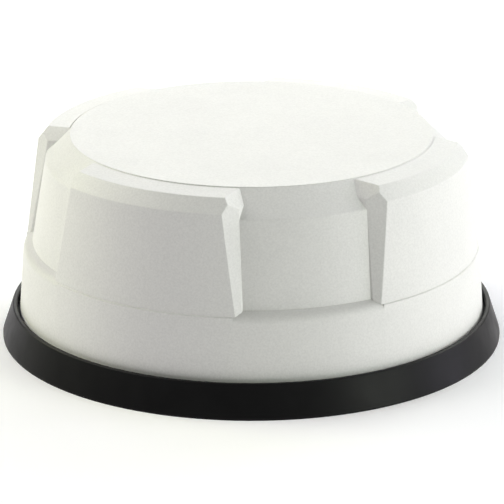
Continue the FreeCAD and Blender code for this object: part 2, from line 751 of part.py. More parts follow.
def make_board_spacers():
    """Four hexagonal spacers between main board and antenna board, with studs into the base plate."""
    spacers = []
    for x, y in four_corners(POST_X, POST_Y):
        solid = hexagon(POST_ACROSS_FLATS, BOARD_TOP, ANTENNA_BOARD_Z, x, y)
        solid = solid.fuse(tube(STUD_R, STUD_BOTTOM, BOARD_TOP + PAST, x, y))
        hole = tube(STUD_HOLE_R, ANTENNA_SCREW_BOTTOM - PAST, ANTENNA_BOARD_Z + PAST, x, y)
        spacers.append(solid.cut(hole).removeSplitter())
    return spacers


def make_antenna_screws():
    """Four screws, which hold the antenna stack to the spacers."""
    radius, height = ANTENNA_SCREW_HEAD
    screws = []
    for x, y in four_corners(POST_X, POST_Y):
        head = tube(radius, PATCH_Z, PATCH_Z + height, x, y)
        shank = tube(STUD_R, ANTENNA_SCREW_BOTTOM, PATCH_Z + height / 2, x, y)
        screws.append(head.fuse(shank).removeSplitter())
    return screws


def with_holes(solid, places, radius, low, high):
    """A solid bored at each place."""
    for x, y in places:
        solid = solid.cut(tube(radius, low - PAST, high + PAST, x, y))
    return solid


def feed_places():
    """The antenna feeds' places."""
    return on_circle(FEED_CIRCLE_R, FEED_COUNT, 45.0)


def layer(radius, low, high, bolted):
    """One layer of the antenna stack, cleared for the feeds and, if bolted, for the screws."""
    solid = with_holes(tube(radius, low, high), feed_places(), FEED_CLEAR_R, low, high)
    if bolted:
        solid = with_holes(solid, four_corners(POST_X, POST_Y), BOARD_HOLE_R, low, high)
    return solid


def save_antenna():
    """Writes the stacked patch antenna, from its board up."""
    lower_top = PATCH_Z + LOWER_PATCH_H
    upper_low = lower_top + FOIL_THICK
    upper_top = upper_low + UPPER_PATCH_H
    save("antenna_board", layer(ANTENNA_BOARD_R, ANTENNA_BOARD_Z, PLANE_Z, True))
    save("ground_plane", layer(GROUND_PLANE_R, PLANE_Z, PATCH_Z, True))
    save("lower_patch", layer(LOWER_PATCH_R, PATCH_Z, lower_top, False))
    save("lower_foil", layer(LOWER_PATCH_R - FOIL_MARGIN, lower_top, upper_low, False))
    save("upper_patch", layer(UPPER_PATCH_R, upper_low, upper_top, False))
    save("upper_foil", layer(UPPER_PATCH_R - FOIL_MARGIN, upper_top, upper_top + FOIL_THICK, False))
    pins = [tube(FEED_R, ANTENNA_BOARD_Z, upper_top + 2 * FOIL_THICK, x, y) for x, y in feed_places()]
    save("feed_pins", pins)
    save("antenna_screws", make_antenna_screws())
    span = (-AMPLIFIER_HALF, AMPLIFIER_HALF)
    save("amplifier_can", shield_can(span, span, ANTENNA_BOARD_Z - CAN_H, ANTENNA_BOARD_Z, False))


def shield_can(x_span, y_span, low, high, open_below):
    """A thin pressed shield, open towards its board."""
    solid = rounded_block(x_span, y_span, (low, high), CAN_ROUND)
    inner_z = (low - PAST, high - CAN_WALL) if open_below else (low + CAN_WALL, high + PAST)
    inner_x = (x_span[0] + CAN_WALL, x_span[1] - CAN_WALL)
    inner_y = (y_span[0] + CAN_WALL, y_span[1] - CAN_WALL)
    return solid.cut(block(inner_x, inner_y, inner_z))


def card_corners():
    """The receiver card's fixing places."""
    half, rear, front = CARD_POST
    return [(sx * half, y) for sx in (-1, 1) for y in (rear, front)]


def save_electronics():
    """Writes the main board, the receiver card on it, and the smaller parts."""
    card_top = CARD_Z + CARD_THICK
    save("main_board", make_main_board())
    save("board_spacers", make_board_spacers())
    card = rounded_block((-CARD_HALF_X, CARD_HALF_X), CARD_Y, (CARD_Z, card_top), CARD_ROUND)
    save("receiver_card", with_holes(card, card_corners(), BOARD_HOLE_R, CARD_Z, card_top))
    save("receiver_can", shield_can(*RECEIVER_CAN, card_top, card_top + CAN_H, True))
    save("card_header", block(*CARD_HEADER, (BOARD_TOP, CARD_Z)))
    head_radius, head_height = CARD_SCREW_HEAD
    spacers = []
    screws = []
    for x, y in card_corners():
        spacers.append(tube(CARD_SPACER_R, BOARD_TOP, CARD_Z, x, y, STUD_HOLE_R))
        head = tube(head_radius, card_top, card_top + head_height, x, y)
        screws.append(head.fuse(tube(STUD_R, BOARD_TOP, card_top + head_height / 2, x, y)).removeSplitter())
    save("card_spacers", spacers)
    save("card_screws", screws)
    save("radio_can", shield_can(*RADIO_CAN, BOARD_TOP, BOARD_TOP + CAN_H, True))
    save("tilt_sensor", block(*TILT_SENSOR, (BOARD_TOP, BOARD_TOP + TILT_SENSOR_H)))
    save("backup_cell", tube(CELL_R, BOARD_TOP, BOARD_TOP + CELL_H, *CELL_PLACE))
    save_antenna_link(card_top, ANTENNA_BOARD_Z)


def save_antenna_link(low, high):
    """Writes the rigid coaxial link, and its two sockets, between heights low and high."""
    x, y = LINK_PLACE
    sockets = [
        tube(LINK_SOCKET_R, low, low + LINK_SOCKET_H, x, y, LINK_SOCKET_BORE_R),
        tube(LINK_SOCKET_R, high - LINK_SOCKET_H, high, x, y, LINK_SOCKET_BORE_R),
    ]
    save("antenna_link_sockets", sockets)
    collars = [
        tube(LINK_COLLAR_R, low, low + LINK_SOCKET_H + LINK_COLLAR_STANDS, x, y),
        tube(LINK_COLLAR_R, high - LINK_SOCKET_H - LINK_COLLAR_STANDS, high, x, y),
    ]
    save("antenna_link", merged([tube(LINK_R, low, high, x, y)] + collars))


def save_connector_board():
    """Writes the upright board behind the connectors, and its ribbon to the main board."""
    board = block((-IO_BOARD_HALF_X, IO_BOARD_HALF_X), (IO_BOARD_Y, IO_BOARD_Y + BOARD_THICK), IO_BOARD_Z)
    for port_x in (-PORT_X, PORT_X):
        for px, py in pin_places():
            board = board.cut(rearward(tube(PIN_R, PIN_TAIL - PAST, 0, px, py), port_x))
    save("connector_board", board)
    ribbon = block((-FLEX_HALF, FLEX_HALF), (SOCKET_Y[1], IO_BOARD_Y), (FLEX_Z - FLEX_THICK, FLEX_Z))
    save("ribbon", ribbon)
    half = FLEX_HALF + SOCKET_MARGIN
    socket = block((-half, half), SOCKET_Y, (BOARD_TOP, BOARD_TOP + SOCKET_H))
    save("ribbon_socket", socket)


def main():
    """Builds and writes every sub-part."""
    os.makedirs(OUT, exist_ok=True)
    save("radome", make_radome())
    save("housing_band", make_housing_band())
    save("base_plate", make_base_plate())
    save("skirt", make_skirt())
    save("radome_seal", tube(RADOME_SEAL[1], SEAM_Z - SEAL_DEPTH, SEAM_Z, bore=RADOME_SEAL[0]))
    save("base_seal", tube(BASE_SEAL[1], FLANGE_TOP - SEAL_DEPTH, FLANGE_TOP, bore=BASE_SEAL[0]))
    save("case_screws", make_case_screws())
    save("radome_inserts", make_radome_inserts())
    save("pole_insert", make_pole_insert())
    save("bracket_inserts", make_bracket_inserts())
    save("vent_body", make_vent_body())
    save("vent_membrane", make_vent_membrane())
    save_port("power", -PORT_X)
    save_port("data", PORT_X)
    save("light_bezel", make_light_bezel())
    save("light_pipes", make_light_pipes())
    save("light_chips", make_light_chips())
    save_antenna()
    save_electronics()
    save_connector_board()


if __name__ == "__main__":
    main()
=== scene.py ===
import logging
import math
from dataclasses import dataclass, field, replace
from enum import Enum
from typing import Callable, Optional

import bmesh
import bpy
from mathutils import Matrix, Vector


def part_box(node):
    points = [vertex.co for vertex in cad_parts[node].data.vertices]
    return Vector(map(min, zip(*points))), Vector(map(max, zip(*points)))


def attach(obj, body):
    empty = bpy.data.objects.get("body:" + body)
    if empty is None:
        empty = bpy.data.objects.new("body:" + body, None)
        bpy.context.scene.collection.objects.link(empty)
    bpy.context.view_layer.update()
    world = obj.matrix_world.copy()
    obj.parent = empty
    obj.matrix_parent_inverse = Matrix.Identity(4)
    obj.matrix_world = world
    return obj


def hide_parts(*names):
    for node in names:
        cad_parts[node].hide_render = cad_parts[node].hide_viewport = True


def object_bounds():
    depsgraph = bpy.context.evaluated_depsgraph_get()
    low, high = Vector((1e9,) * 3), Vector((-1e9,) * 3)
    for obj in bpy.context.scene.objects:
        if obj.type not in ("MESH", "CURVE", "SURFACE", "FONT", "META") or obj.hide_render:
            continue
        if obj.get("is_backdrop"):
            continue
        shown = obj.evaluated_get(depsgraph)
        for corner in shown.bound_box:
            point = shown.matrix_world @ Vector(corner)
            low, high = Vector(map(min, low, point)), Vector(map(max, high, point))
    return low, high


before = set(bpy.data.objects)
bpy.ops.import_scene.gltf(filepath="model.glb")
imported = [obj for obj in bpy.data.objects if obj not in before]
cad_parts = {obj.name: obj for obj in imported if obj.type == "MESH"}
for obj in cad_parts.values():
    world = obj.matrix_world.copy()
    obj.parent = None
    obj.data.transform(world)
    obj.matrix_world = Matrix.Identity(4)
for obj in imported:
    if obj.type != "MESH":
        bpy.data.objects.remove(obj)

logging.basicConfig(level=logging.INFO, format="%(message)s")
log = logging.getLogger("receiver")

Colour = tuple[float, float, float]
Corner = tuple[float, float, float]
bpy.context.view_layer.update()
# painted shade: a grey mixed into up-facing surfaces, standing in for the shadow that falls on ledges
PAINTED_SHADE_TONE: Colour = (0.42, 0.42, 0.40)
PAINTED_SHADE_FACING = (0.12, 0.75)  # how far up a surface faces where the painted shade starts, and where it lies full
WELD = 0.000002  # points closer than this are one point
NICK = 0.0003  # the small chamfer that breaks a turned piece's edges
SMOOTH_BELOW = math.radians(32.0)  # edges flatter than this are shaded smooth
FULL_TURN = 2 * math.pi
CLEAR_PLASTIC_IOR = 1.49
MASK_ROUGHNESS = 0.35
TRACK_GAP = 0.08  # the copper between cells, as a fraction of a cell
TRACK_HEIGHT = 0.00003
FINE_MARKS = (0.0003, 0.000004)  # the size and height of a metal's finest marks


class Texture(Enum):
    """How a moulded or cast surface is textured, as grain size in metres and height in metres."""

    SPARK = (0.0006, 0.00003)
    LEATHER = (0.0011, 0.00004)
    SATIN = (0.0003, 0.000006)


class Way(Enum):
    """Which way a turned or knurled piece faces."""

    UP = (0.0, 0.0, 0.0)
    REARWARD = (-math.pi / 2, 0.0, 0.0)


# ------------------------------------------------------------------ finishes
class NodeSheet:
    """A material's node tree, with short ways to add and join nodes."""

    def __init__(self, name: str) -> None:
        """Starts an empty material.

        Args:
            name: The material's name.
        """
        self.material = bpy.data.materials.new(name)
        self.material.use_nodes = True
        self.nodes = self.material.node_tree.nodes
        self.links = self.material.node_tree.links
        self.shader = self.nodes["Principled BSDF"]
        self.place = self.nodes.new("ShaderNodeTexCoord")

    def join(self, source: bpy.types.NodeSocket, target: bpy.types.NodeSocket) -> None:
        """Links one socket to another."""
        self.links.new(source, target)

    def noise(self, size: float, detail: float = 3.0, roughness: float = 0.5) -> bpy.types.NodeSocket:
        """Adds a noise on object coordinates.

        Args:
            size: The size of one grain, in metres.
            detail: How many finer octaves it has.
            roughness: How strong the finer octaves are.

        Returns:
            The noise's value socket.
        """
        node = self.nodes.new("ShaderNodeTexNoise")
        node.inputs["Scale"].default_value = 1.0 / size
        node.inputs["Detail"].default_value = detail
        node.inputs["Roughness"].default_value = roughness
        self.join(self.place.outputs["Object"], node.inputs["Vector"])
        return node.outputs["Fac"]

    def ramp(
        self, value: bpy.types.NodeSocket, low: float, high: float, to_low: float, to_high: float
    ) -> bpy.types.NodeSocket:
        """Maps a value from one range to another.

        Args:
            value: The socket to map.
            low: The start of the range it comes from.
            high: The end of the range it comes from.
            to_low: What low becomes.
            to_high: What high becomes.

        Returns:
            The mapped value's socket.
        """
        node = self.nodes.new("ShaderNodeMapRange")
        for key, number in (("From Min", low), ("From Max", high), ("To Min", to_low), ("To Max", to_high)):
            node.inputs[key].default_value = number
        self.join(value, node.inputs["Value"])
        return node.outputs["Result"]

    def blend(self, factor: bpy.types.NodeSocket, first: Colour, second: Colour) -> bpy.types.NodeSocket:
        """Mixes two colours by a factor.

        Args:
            factor: The socket that mixes them.
            first: The colour at 0.
            second: The colour at 1.

        Returns:
            The mixed colour's socket.
        """
        node = self.nodes.new("ShaderNodeMix")
        node.data_type = "RGBA"
        node.inputs["A"].default_value = (*first, 1.0)
        node.inputs["B"].default_value = (*second, 1.0)
        self.join(factor, node.inputs["Factor"])
        return node.outputs["Result"]

    def bump(
        self, height: bpy.types.NodeSocket, distance: float, below: Optional[bpy.types.NodeSocket] = None
    ) -> bpy.types.NodeSocket:
        """Adds a bump.

        Args:
            height: The height's socket, from 0 to 1.
            distance: The height of 1, in metres.
            below: The normal that the bump adds to, if any.

        Returns:
            The normal's socket.
        """
        node = self.nodes.new("ShaderNodeBump")
        node.inputs["Distance"].default_value = distance
        self.join(height, node.inputs["Height"])
        if below is not None:
            self.join(below, node.inputs["Normal"])
        return node.outputs["Normal"]

    def speckled(
        self, tone: bpy.types.NodeSocket, size: float, range_of_tones: float
    ) -> bpy.types.NodeSocket:
        """Gives each grain of a surface its own tone.

        Args:
            tone: The mean colour's socket.
            size: The size of one grain, in metres.
            range_of_tones: How far the palest and darkest grains differ, as a fraction of the colour.

        Returns:
            The speckled colour's socket.
        """
        layer = self.nodes.new("ShaderNodeMix")
        layer.data_type = "RGBA"
        layer.blend_type = "MULTIPLY"
        layer.inputs["Factor"].default_value = 1.0
        grain = self.nodes.new("ShaderNodeCombineColor")
        low, high = 1.0 - range_of_tones / 2, 1.0 + range_of_tones / 2
        value = self.ramp(self.noise(size, 1.0, 0.6), 0.25, 0.75, low, high)
        for channel in ("Red", "Green", "Blue"):
            self.join(value, grain.inputs[channel])
        self.join(tone, layer.inputs["A"])
        self.join(grain.outputs["Color"], layer.inputs["B"])
        return layer.outputs["Result"]

    def paint_shade_on_up_faces(self, tone: bpy.types.NodeSocket, strength: float) -> bpy.types.NodeSocket:
        """Paints shade into a colour where the surface faces up, darkening ledges as if shadowed.

        Args:
            tone: The clean colour's socket.
            strength: How much of the painted shade's grey shows on a level surface.

        Returns:
            The colour's socket, with the painted shade.
        """
        shape = self.nodes.new("ShaderNodeNewGeometry")
        parts = self.nodes.new("ShaderNodeSeparateXYZ")
        self.join(shape.outputs["Normal"], parts.inputs["Vector"])
        layer = self.nodes.new("ShaderNodeMix")
        layer.data_type = "RGBA"
        # painted shade: the more a surface faces up, the more of the grey is mixed in
        self.join(self.ramp(parts.outputs["Z"], *PAINTED_SHADE_FACING, 0.0, strength), layer.inputs["Factor"])
        self.join(tone, layer.inputs["A"])
        layer.inputs["B"].default_value = (*PAINTED_SHADE_TONE, 1.0)
        return layer.outputs["Result"]

    def height_of(self, axis: str) -> bpy.types.NodeSocket:
        """Reads one of the object coordinates.

        Args:
            axis: Which one, as X, Y or Z.

        Returns:
            Its socket.
        """
        node = self.nodes.new("ShaderNodeSeparateXYZ")
        self.join(self.place.outputs["Object"], node.inputs["Vector"])
        return node.outputs[axis]


@dataclass(frozen=True)
class MouldedPlastic:
    """A moulded plastic or rubber, with a mould texture and slight unevenness in tone and gloss.

    Attributes:
        name: The material's name.
        colour: Its colour.
        shade: The tone that it drifts to.
        roughness: Its mean roughness.
        texture: The mould's texture.
        gloss: The strength of its surface reflection.
        painted_shade_strength: How much painted shade darkens what faces up, from 0 for none.
        speckle: How far its grains' tones differ, as a fraction of the colour.
    """

    name: str
    colour: Colour
    shade: Colour
    roughness: float
    texture: Texture
    gloss: float = 0.5
    painted_shade_strength: float = 0.0
    speckle: float = 0.0

    def make(self) -> bpy.types.Material:
        """Builds the material."""
        sheet = NodeSheet(self.name)
        size, height = self.texture.value
        drift = sheet.ramp(sheet.noise(0.03, 4.0, 0.6), 0.35, 0.65, 0.0, 1.0)
        tone = sheet.blend(drift, self.colour, self.shade)
        if self.speckle > 0:
            tone = sheet.speckled(tone, size, self.speckle)
        # painted shade: up-facing surfaces are darkened towards a grey
        if self.painted_shade_strength > 0:
            tone = sheet.paint_shade_on_up_faces(tone, self.painted_shade_strength)
        sheet.join(tone, sheet.shader.inputs["Base Color"])
        worn = sheet.ramp(sheet.noise(0.006, 3.0), 0.3, 0.7, self.roughness - 0.05, self.roughness + 0.05)
        sheet.join(worn, sheet.shader.inputs["Roughness"])
        sheet.shader.inputs["Specular IOR Level"].default_value = self.gloss
        coarse = sheet.bump(sheet.noise(size * 2.5, 2.0), height)
        fine = sheet.bump(sheet.noise(size, 2.0), height * 0.7, coarse)
        sheet.join(fine, sheet.shader.inputs["Normal"])
        return sheet.material


@dataclass(frozen=True)
class TurnedMetal:
    """A turned, plated or rolled metal with fine tool marks.

    Attributes:
        name: The material's name.
        colour: Its colour.
        roughness: Its mean roughness.
        pitch: The spacing of its tool marks, in metres.
        marks: The height of its tool marks, in metres.
        axis: The coordinate that the marks run across.
    """

    name: str
    colour: Colour
    roughness: float
    pitch: float = 0.0002
    marks: float = 0.000004
    axis: str = "Z"

    def make(self) -> bpy.types.Material:
        """Builds the material."""
        sheet = NodeSheet(self.name)
        dull = tuple(0.82 * part for part in self.colour)
        tone = sheet.blend(sheet.noise(0.004, 4.0, 0.6), dull, self.colour)
        sheet.join(tone, sheet.shader.inputs["Base Color"])
        sheet.shader.inputs["Metallic"].default_value = 1.0
        smear = sheet.ramp(sheet.noise(0.002, 4.0), 0.3, 0.7, self.roughness - 0.07, self.roughness + 0.08)
        sheet.join(smear, sheet.shader.inputs["Roughness"])
        wave = sheet.nodes.new("ShaderNodeMath")
        wave.operation = "SINE"
        scaled = sheet.nodes.new("ShaderNodeMath")
        scaled.operation = "MULTIPLY"
        scaled.inputs[1].default_value = FULL_TURN / self.pitch
        sheet.join(sheet.height_of(self.axis), scaled.inputs[0])
        sheet.join(scaled.outputs["Value"], wave.inputs[0])
        turned = sheet.bump(wave.outputs["Value"], self.marks)
        size, height = FINE_MARKS
        sheet.join(sheet.bump(sheet.noise(size), height, turned), sheet.shader.inputs["Normal"])
        return sheet.material


@dataclass(frozen=True)
class ClearPlastic:
    """A clear or smoked plastic.

    Attributes:
        name: The material's name.
        colour: The colour it lets through.
        roughness: Its roughness.
        clearness: How much light it passes, from 0 to 1.
    """

    name: str
    colour: Colour
    roughness: float
    clearness: float

    def make(self) -> bpy.types.Material:
        """Builds the material."""
        sheet = NodeSheet(self.name)
        cloud = tuple(0.92 * part for part in self.colour)
        sheet.join(sheet.blend(sheet.noise(0.002), cloud, self.colour), sheet.shader.inputs["Base Color"])
        smear = sheet.ramp(sheet.noise(0.003), 0.3, 0.7, self.roughness, self.roughness + 0.06)
        sheet.join(smear, sheet.shader.inputs["Roughness"])
        sheet.shader.inputs["Transmission Weight"].default_value = self.clearness
        sheet.shader.inputs["IOR"].default_value = CLEAR_PLASTIC_IOR
        return sheet.material


@dataclass(frozen=True)
class CircuitBoard:
    """A solder mask over copper tracks.

    Attributes:
        name: The material's name.
        mask: The mask's colour over bare board.
        track: The mask's colour over copper.
        pitch: The tracks' spacing, in metres.
    """

    name: str
    mask: Colour
    track: Colour
    pitch: float

    def make(self) -> bpy.types.Material:
        """Builds the material."""
        sheet = NodeSheet(self.name)
        cells = sheet.nodes.new("ShaderNodeTexBrick")
        cells.inputs["Scale"].default_value = 1.0 / self.pitch
        cells.inputs["Mortar Size"].default_value = TRACK_GAP
        cells.inputs["Color1"].default_value = (*self.mask, 1.0)
        cells.inputs["Color2"].default_value = (*(0.8 * part for part in self.mask), 1.0)
        cells.inputs["Mortar"].default_value = (*self.track, 1.0)
        sheet.join(sheet.place.outputs["Object"], cells.inputs["Vector"])
        sheet.join(cells.outputs["Color"], sheet.shader.inputs["Base Color"])
        sheet.join(sheet.bump(cells.outputs["Fac"], TRACK_HEIGHT), sheet.shader.inputs["Normal"])
        sheet.shader.inputs["Roughness"].default_value = MASK_ROUGHNESS
        return sheet.material


# ------------------------------------------------------------------ dressing the CAD pieces
def dress(finish: bpy.types.Material, *nodes: str) -> None:
    """Gives CAD nodes a material.

    Args:
        finish: The material.
        nodes: The nodes' names.
    """
    for name in nodes:
        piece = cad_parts[name]
        for held in piece.material_slots:
            held.material = finish
        log.info("dressed %s in %s", name, finish.name)


WHITE = MouldedPlastic(
    name="white_shell_moulding",
    colour=(0.80, 0.80, 0.772),
    shade=(0.775, 0.775, 0.75),
    roughness=0.48,
    texture=Texture.SPARK,
    gloss=0.4,
    speckle=0.10,
)


@dataclass
class Shells:
    """The outside of the receiver: radome, housing band, skirt and base plate.

    Attributes:
        white: The finish of the radome.
        band: The finish of the housing band.
        skirt: The finish of the skirt.
        plate: The finish of the base plate.
        seal: The finish of the seals.
    """

    white: MouldedPlastic = WHITE
    # the band carries painted shade on its up-facing ledges
    band: MouldedPlastic = replace(WHITE, name="white_band_moulding", painted_shade_strength=0.3)
    skirt: MouldedPlastic = MouldedPlastic(
        "black_skirt_rubber", (0.0095, 0.0095, 0.0098), (0.0115, 0.0115, 0.0118), 0.38, Texture.SATIN, 0.1
    )
    plate: MouldedPlastic = MouldedPlastic(
        "black_plate_moulding", (0.02, 0.02, 0.021), (0.028, 0.028, 0.029), 0.55, Texture.LEATHER
    )
    seal: MouldedPlastic = MouldedPlastic(
        "sealing_rubber", (0.01, 0.01, 0.01), (0.014, 0.014, 0.014), 0.6, Texture.SATIN, 0.4
    )

    def build(self) -> bpy.types.Material:
        """Dresses the shells.

        Returns:
            The sealing rubber, for the other seals.
        """
        dress(self.white.make(), "radome")
        dress(self.band.make(), "housing_band")
        dress(self.skirt.make(), "skirt")
        dress(self.plate.make(), "base_plate")
        rubber = self.seal.make()
        dress(rubber, "radome_seal", "base_seal")
        return rubber


# ------------------------------------------------------------------ shaping pieces
class Workpiece:
    """A piece shaped in edit mode about +Z, then turned and put in its place."""

    def __init__(self, name: str) -> None:
        """Names the primitive that was just added, and opens it for editing.

        Args:
            name: The finished piece's name.
        """
        self.body = bpy.context.object
        self.body.name = name
        self.body.data.name = name
        bpy.ops.object.mode_set(mode="EDIT")
        bpy.ops.mesh.select_mode(type="FACE")

    @classmethod
    def cylinder(cls, name: str, radius: float, low: float, high: float, sides: int = 64) -> "Workpiece":
        """Starts from an upright cylinder.

        Args:
            name: The piece's name.
            radius: Its radius.
            low: The height of its lower end.
            high: The height of its upper end.
            sides: How many sides it has.

        Returns:
            The workpiece, open for editing.
        """
        bpy.ops.object.select_all(action="DESELECT")
        middle = (0.0, 0.0, (low + high) / 2)
        bpy.ops.mesh.primitive_cylinder_add(vertices=sides, radius=radius, depth=high - low, location=middle)
        bpy.ops.object.transform_apply(location=True, rotation=True, scale=True)
        return cls(name)

    @classmethod
    def block(cls, name: str, size: Corner, middle: Corner) -> "Workpiece":
        """Starts from a box.

        Args:
            name: The piece's name.
            size: Its full size along each axis.
            middle: Its middle.

        Returns:
            The workpiece, open for editing.
        """
        bpy.ops.object.select_all(action="DESELECT")
        bpy.ops.mesh.primitive_cube_add(size=1.0, location=middle, scale=size)
        bpy.ops.object.transform_apply(location=True, rotation=True, scale=True)
        return cls(name)

    @classmethod
    def turned(cls, name: str, outline: list[tuple[float, float]], steps: int = 96) -> "Workpiece":
        """Starts from one point, draws an outline by extruding it, and spins that about +Z.

        Args:
            name: The piece's name.
            outline: The closed outline's (radius, height) points, without the first repeated.
            steps: How many steps go round.

        Returns:
            The workpiece, open for editing.
        """
        bpy.ops.object.select_all(action="DESELECT")
        bpy.ops.mesh.primitive_plane_add(size=0.001)
        piece = cls(name)
        bpy.ops.mesh.select_mode(type="VERT")
        bpy.ops.mesh.select_all(action="SELECT")
        bpy.ops.mesh.merge(type="CENTER")
        at = (0.0, 0.0)
        for index, point in enumerate(outline + outline[:1]):
            step = (point[0] - at[0], 0.0, point[1] - at[1])
            if index == 0:
                bpy.ops.transform.translate(value=step)
            else:
                bpy.ops.mesh.extrude_region_move(TRANSFORM_OT_translate={"value": step})
            at = point
        bpy.ops.mesh.select_all(action="SELECT")
        bpy.ops.mesh.remove_doubles(threshold=WELD)
        bpy.ops.mesh.select_all(action="SELECT")
        bpy.ops.mesh.spin(steps=steps, angle=FULL_TURN, center=(0.0, 0.0, 0.0), axis=(0.0, 0.0, 1.0))
        bpy.ops.mesh.select_all(action="SELECT")
        bpy.ops.mesh.remove_doubles(threshold=WELD)
        bpy.ops.mesh.normals_make_consistent(inside=False)
        bpy.ops.mesh.select_mode(type="FACE")
        return piece

    def pick(self, test: Callable[[Vector, Vector], bool]) -> None:
        """Selects the faces that pass a test, and no others.

        Args:
            test: Takes a face's middle and its normal, and says whether it is picked.
        """
        bpy.ops.mesh.select_mode(type="FACE")
        bpy.ops.mesh.select_all(action="DESELECT")
        shape = bmesh.from_edit_mesh(self.body.data)
        for face in shape.faces:
            if test(face.calc_center_median(), face.normal):
                face.select = True
        bmesh.update_edit_mesh(self.body.data)

    def pick_edges(self, test: Callable[[Vector, float], bool]) -> None:
        """Selects the edges that pass a test, and no others.

        Args:
            test: Takes an edge's middle and the angle between its faces, and says whether it is picked.
        """
        bpy.ops.mesh.select_mode(type="EDGE")
        bpy.ops.mesh.select_all(action="DESELECT")
        shape = bmesh.from_edit_mesh(self.body.data)
        for edge in shape.edges:
            middle = (edge.verts[0].co + edge.verts[1].co) / 2
            if test(middle, edge.calc_face_angle(0.0)):
                edge.select = True
        bmesh.update_edit_mesh(self.body.data)

    def inset(self, width: float, depth: float = 0.0, each: bool = False) -> None:
        """Insets the picked faces, and raises or sinks them.

        Args:
            width: How far their edges move in.
            depth: How far they rise, or sink if it is negative.
            each: Whether each face is inset on its own.
        """
        bpy.ops.mesh.inset(thickness=width, depth=depth, use_individual=each)

    def draw_out(self, step: Corner) -> None:
        """Extrudes the picked faces by a step."""
        bpy.ops.mesh.extrude_region_move(TRANSFORM_OT_translate={"value": step})

    def soften(self, width: float, sharper_than: float = 0.6, segments: int = 3) -> None:
        """Bevels every edge that is sharper than an angle.

        Args:
            width: The bevel's width.
            sharper_than: The angle, in radians.
            segments: How many faces the bevel has across.
        """
        self.pick_edges(lambda middle, angle: angle > sharper_than)
        bpy.ops.mesh.bevel(offset=width, segments=segments, affect="EDGES", clamp_overlap=True)

    def close(self) -> bpy.types.Object:
        """Leaves edit mode with the shading smooth but for sharp edges."""
        bpy.ops.mesh.select_all(action="SELECT")
        bpy.ops.mesh.remove_doubles(threshold=WELD)
        bpy.ops.mesh.normals_make_consistent(inside=False)
        bpy.ops.object.mode_set(mode="OBJECT")
        bpy.ops.object.shade_smooth_by_angle(angle=SMOOTH_BELOW)
        return self.body


def settle(piece: bpy.types.Object, place: Vector, way: Way = Way.UP, turn: float = 0.0) -> bpy.types.Object:
    """Turns a piece, puts it in its place, and applies both to its mesh.

    Args:
        piece: The piece, made about +Z.
        place: Where its origin goes.
        way: Which way its +Z goes.
        turn: How far it is turned about its own axis first, in radians.

    Returns:
        The same piece.
    """
    bpy.ops.object.select_all(action="DESELECT")
    piece.select_set(True)
    bpy.context.view_layer.objects.active = piece
    piece.rotation_euler = (0.0, 0.0, turn)
    bpy.ops.object.transform_apply(location=True, rotation=True, scale=True)
    piece.rotation_euler = way.value
    piece.location = place
    bpy.ops.object.transform_apply(location=True, rotation=True, scale=True)
    return piece


def twin(piece: bpy.types.Object, name: str) -> bpy.types.Object:
    """A copy of a piece with its own mesh.

    Args:
        piece: The piece to copy.
        name: The copy's name.

    Returns:
        The copy.
    """
    bpy.ops.object.select_all(action="DESELECT")
    piece.select_set(True)
    bpy.context.view_layer.objects.active = piece
    bpy.ops.object.duplicate(linked=False)
    copy = bpy.context.object
    copy.name = name
    copy.data.name = name
    return copy


def gather(pieces: list[bpy.types.Object], name: str) -> bpy.types.Object:
    """Joins several pieces into one.

    Args:
        pieces: The pieces.
        name: The joined piece's name.

    Returns:
        The joined piece.
    """
    bpy.ops.object.select_all(action="DESELECT")
    for piece in pieces:
        piece.select_set(True)
    bpy.context.view_layer.objects.active = pieces[0]
    bpy.ops.object.join()
    joined = bpy.context.object
    joined.name = name
    joined.data.name = name
    return joined


def carve(piece: bpy.types.Object, tool: bpy.types.Object) -> None:
    """Cuts a tool's shape out of a piece, and removes the tool.

    Args:
        piece: The piece.
        tool: The tool's shape.
    """
    bpy.ops.object.select_all(action="DESELECT")
    piece.select_set(True)
    bpy.context.view_layer.objects.active = piece
    cut = piece.modifiers.new("cut", "BOOLEAN")
    cut.operation = "DIFFERENCE"
    cut.solver = "EXACT"
    cut.object = tool
    bpy.ops.object.modifier_apply(modifier=cut.name)
    bpy.data.objects.remove(tool)


def fit(piece: bpy.types.Object, body: str, slot: str, finish: bpy.types.Material, *stands_for: str) -> None:
    """Gives a finished piece its material and its body.

    Args:
        piece: The piece.
        body: The CAD body that it rides on.
        slot: The record's material slot; not used.
        finish: Its material.
        stands_for: The CAD nodes that it stands for.
    """
    piece.data.materials.clear()
    piece.data.materials.append(finish)
    if stands_for:
        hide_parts(*stands_for)
    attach(piece, body)
    log.info("built %s: %d faces, on %s", piece.name, len(piece.data.polygons), body)


def middle_of(node: str) -> Vector:
    """The middle of a CAD node's box."""
    low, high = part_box(node)
    return (Vector(low) + Vector(high)) / 2


def size_of(node: str) -> Vector:
    """The size of a CAD node's box."""
    low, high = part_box(node)
    return Vector(high) - Vector(low)


